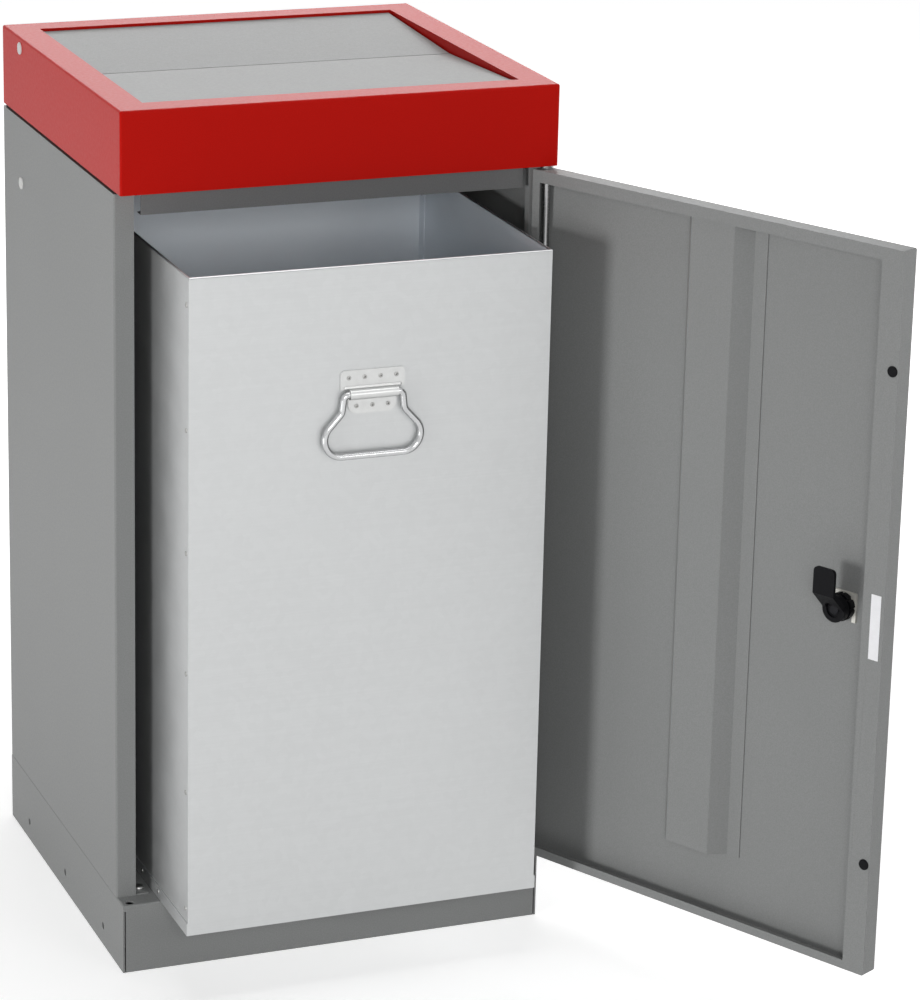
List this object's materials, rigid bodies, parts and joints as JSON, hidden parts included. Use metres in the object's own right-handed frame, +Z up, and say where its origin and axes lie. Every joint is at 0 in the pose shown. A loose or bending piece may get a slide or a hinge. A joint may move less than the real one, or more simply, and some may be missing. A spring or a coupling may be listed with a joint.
{
  "type": "recycling bin",
  "caption": "Free-standing sheet-steel recycling bin: red hood with sprung swing flaps, side-hung locking door and a removable galvanised bucket with drop handles.",
  "frame": {"origin": "on the floor under the middle of the cabinet", "axes": "+Z up, the front with the door faces -Y, +X to the right seen from the front"},
  "size_m": [0.578, 0.7262, 0.79],
  "materials": {
    "body_paint": "satin grey powder coat",
    "hood_paint": "semi-gloss red powder coat",
    "flap_steel": "satin silver coat",
    "galvanised_sheet": "bright galvanised",
    "zinc_hardware": "zinc plated",
    "handle_steel": "zinc plated",
    "spring_steel": "plain spring wire",
    "lock_chrome": "polished",
    "black_plastic": "matt black",
    "blackened_steel": "blackened",
    "white_plastic": "white",
    "blank_sticker": "blank white"
  },
  "bodies": {
    "cabinet": {"plinth": "body_paint", "left_side_panel": "body_paint", "right_side_panel": "body_paint", "back_panel": "body_paint", "top_front_rail": "body_paint", "back_rivets": "zinc_hardware", "floor_screws": "zinc_hardware", "hood_spacers": "black_plastic", "hood_bolts": "zinc_hardware", "hood_frame": "hood_paint", "side_plugs": "white_plastic", "hinge_rod": "zinc_hardware", "hinge_washers": "zinc_hardware", "flap_pins": "zinc_hardware", "front_flap_stop": "hood_paint", "rear_flap_stop": "hood_paint"},
    "door": {"door_panel": "body_paint", "door_stiffener": "body_paint", "door_bumpers": "black_plastic", "door_label": "blank_sticker", "lock_body": "lock_chrome", "lock_clip": "zinc_hardware", "lock_nut": "black_plastic"},
    "latch": {"lock_core": "lock_chrome", "lock_cam": "black_plastic", "cam_screw": "blackened_steel"},
    "bucket": {"bucket_front_panel": "galvanised_sheet", "bucket_back_panel": "galvanised_sheet", "bucket_left_side": "galvanised_sheet", "bucket_right_side": "galvanised_sheet", "bucket_pan": "galvanised_sheet", "bucket_rivets": "zinc_hardware", "front_handle_plate": "handle_steel", "rear_handle_plate": "handle_steel", "handle_rivets": "zinc_hardware"},
    "front_handle": {"front_handle_bail": "handle_steel"},
    "rear_handle": {"rear_handle_bail": "handle_steel"},
    "front_flap": {"front_flap": "flap_steel", "front_flap_springs": "spring_steel"},
    "rear_flap": {"rear_flap": "flap_steel", "rear_flap_springs": "spring_steel"}
  },
  "joints": [
    {"name": "door_hinge", "type": "hinge", "parent": "cabinet", "child": "door", "pos_m": [0.192, -0.1835, 0.391], "axis": [0, 0, 1], "range_deg": [-117.4, 62.6]},
    {"name": "bucket_slide", "type": "slide", "parent": "cabinet", "child": "bucket", "axis": [0, -1, 0], "range_m": [-0.1281, 0.0684]},
    {"name": "latch_turn", "type": "hinge", "parent": "door", "child": "latch", "pos_m": [0.35332, -0.48059, 0.391], "axis": [0.8878, 0.4602, 0], "range_deg": [0, 90]},
    {"name": "front_handle_swing", "type": "hinge", "parent": "bucket", "child": "front_handle", "pos_m": [0, -0.27255, 0.5503], "axis": [-1, 0, 0], "range_deg": [0, 90]},
    {"name": "rear_handle_swing", "type": "hinge", "parent": "bucket", "child": "rear_handle", "pos_m": [0, 0.05305, 0.5503], "axis": [1, 0, 0], "range_deg": [0, 90]},
    {"name": "front_flap_swing", "type": "hinge", "parent": "cabinet", "child": "front_flap", "pos_m": [0, -0.152, 0.779], "axis": [-1, 0, 0], "range_deg": [0, 45], "stiffness_Nm_per_rad": 0.4, "springref_deg": -91.67},
    {"name": "rear_flap_swing", "type": "hinge", "parent": "cabinet", "child": "rear_flap", "pos_m": [0, 0.152, 0.779], "axis": [1, 0, 0], "range_deg": [0, 45], "stiffness_Nm_per_rad": 0.4, "springref_deg": -91.67}
  ],
  "couplings": [
    {"joint": "bucket_slide", "follows": "door_hinge", "m_per_rad": 0.062469}
  ]
}
